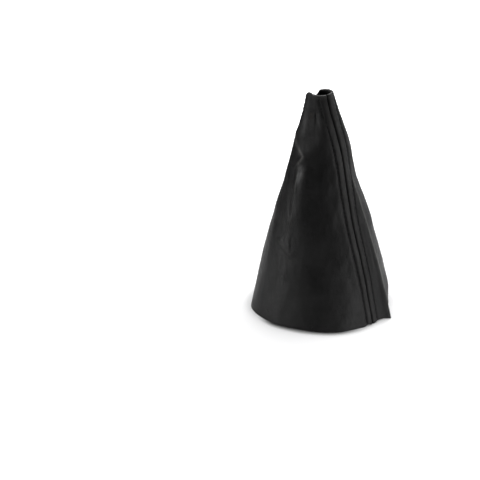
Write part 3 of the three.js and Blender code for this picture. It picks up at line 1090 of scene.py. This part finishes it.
studio = {
    "floorEdge": 6,  # from the middle
    "floor": (0.84, 0.84, 0.845),
    "floorDarker": 0.985,  # in patches, of this noise
    "floorPatches": (9, 4),
    "floorRoughness": 0.75,
    "floorInReflections": (0.58, 0.02, 0.25, 0.5),  # near and far, and those distances: painted shade, so the floor that the leather reflects darkens away from the sleeve
    "floorGlow": (0.32, 1, 0.1, 0.6),  # near the sleeve and far from it, and those distances
    "contact": (0.015, 0.02),  # reach of the painted contact shadow at the hem, and its darkest part
    "contactEdge": (0.94, 0.67),  # how open the floor is where the painted shadow starts and is full
    "contactSamples": 24,
    "shadeBeside": 0.25,  # the painted shadow's strength outside its span
    # the painted shadow lies from this x to this one, and fades from the third to the fourth
    "shadeSpan": (-0.062, -0.046, 0.01, 0.05),
    "world": 0.02,
    "seen": 1,  # what the camera sees past the floor
    "aim": (0, 0, 0.1),  # where the lights point
    "lights": {
        # azimuth from the front towards the right, elevation, distance, width, height, power
        "left": (-66, -4, 0.95, 0.34, 0.15, 0.34),
        "leftHigh": (-70, 16, 0.95, 0.4, 0.13, 2.2),
        "frontLeftHigh": (-46, 34, 0.95, 0.33, 0.17, 0.4),
        "right": (50, -1, 0.95, 0.33, 0.17, 0.65),
        "rightHigh": (76, 13, 0.95, 0.5, 0.2, 1.1),
        "rightBack": (124, 3, 0.95, 0.5, 0.3, 0.9),
        "leftBack": (-140, 10, 0.95, 0.5, 0.3, 0.12),
        "above": (150, 68, 1.3, 1.1, 1.1, 24),
    },
}


def makeFloor():
    mesh = bpy.data.meshes.new("floor")
    edge = studio["floorEdge"]
    corners = [(-edge, -edge, 0), (edge, -edge, 0), (edge, edge, 0), (-edge, edge, 0)]
    mesh.from_pydata(corners, [], [(0, 1, 2, 3)])
    floor = bpy.data.objects.new("floor", mesh)
    scene.collection.objects.link(floor)
    material, tree, shader = newMaterial("paleFloor", {"Roughness": studio["floorRoughness"]})
    place = objectPlace(tree)
    seen = newNode(tree, "ShaderNodeLightPath").outputs["Is Camera Ray"]
    darker = tuple(studio["floorDarker"] * c for c in studio["floor"])
    colour = mixColour(tree, noise(tree, place, *studio["floorPatches"]), darker, studio["floor"])
    # painted contact shadow: ambient occlusion near the hem darkens the floor's colour, most at the front
    # left
    reach, darkest = studio["contact"]
    corner = newNode(tree, "ShaderNodeAmbientOcclusion", samples=studio["contactSamples"])
    corner.inputs["Distance"].default_value = reach
    closed = ramp(tree, corner.outputs["AO"], *studio["contactEdge"])
    x = component(tree, place, "X")
    start, full, fading, end = studio["shadeSpan"]
    span = mathNode(tree, "MULTIPLY", ramp(tree, x, start, full), ramp(tree, x, end, fading))
    span = mathNode(tree, "MULTIPLY_ADD", span, 1 - studio["shadeBeside"], studio["shadeBeside"])
    closed = mathNode(tree, "MULTIPLY", closed, span)
    shade = mathNode(tree, "MULTIPLY_ADD", closed, darkest - 1, 1)
    colour = mixColour(tree, shade, (0, 0, 0), colour)
    length = newNode(tree, "ShaderNodeVectorMath", operation="LENGTH")
    tree.links.new(place, length.inputs[0])
    distance = length.outputs["Value"]
    # the floor as the leather reflects it: painted shade darkens it away from the sleeve
    near, far, nearDistance, farDistance = studio["floorInReflections"]
    mirrored = ramp(tree, distance, farDistance, nearDistance)
    mirrored = mixColour(tree, mirrored, (far,) * 3, (near,) * 3)
    tree.links.new(mixColour(tree, seen, mirrored, colour), shader.inputs["Base Color"])
    near, far, nearDistance, farDistance = studio["floorGlow"]
    glow = ramp(tree, distance, nearDistance, farDistance)
    glow = mathNode(tree, "MULTIPLY_ADD", glow, far - near, near)
    # the painted shadow dims the floor's glow too
    glow = mathNode(tree, "MULTIPLY", glow, shade)
    tree.links.new(mathNode(tree, "MULTIPLY", glow, seen), shader.inputs["Emission Strength"])
    shader.inputs["Emission Color"].default_value = (1, 1, 1, 1)
    mesh.materials.append(material)


def makeLights():
    aim = Vector(studio["aim"])
    for name, (azimuth, elevation, distance, width, height, power) in studio["lights"].items():
        data = bpy.data.lights.new(name, "AREA")
        data.shape = "RECTANGLE"
        data.size, data.size_y, data.energy = width, height, power
        light = bpy.data.objects.new(name, data)
        light.visible_camera = False
        a, e = math.radians(azimuth), math.radians(elevation)
        way = Vector((math.sin(a) * math.cos(e), -math.cos(a) * math.cos(e), math.sin(e)))
        turn = way.to_track_quat("Z", "Y").to_matrix().to_4x4()
        light.matrix_world = Matrix.Translation(aim + way * distance) @ turn
        scene.collection.objects.link(light)
    scene.world = scene.world or bpy.data.worlds.new("studio")
    scene.world.use_nodes = True
    tree = scene.world.node_tree
    background = tree.nodes["Background"]
    seen = newNode(tree, "ShaderNodeLightPath").outputs["Is Camera Ray"]
    strength = mathNode(tree, "MULTIPLY_ADD", seen, studio["seen"] - studio["world"], studio["world"])
    background.inputs["Color"].default_value = (1, 1, 1, 1)
    tree.links.new(strength, background.inputs["Strength"])


makeFloor()
makeLights()
scene.view_settings.view_transform = "Standard"
print("floor and lights placed")
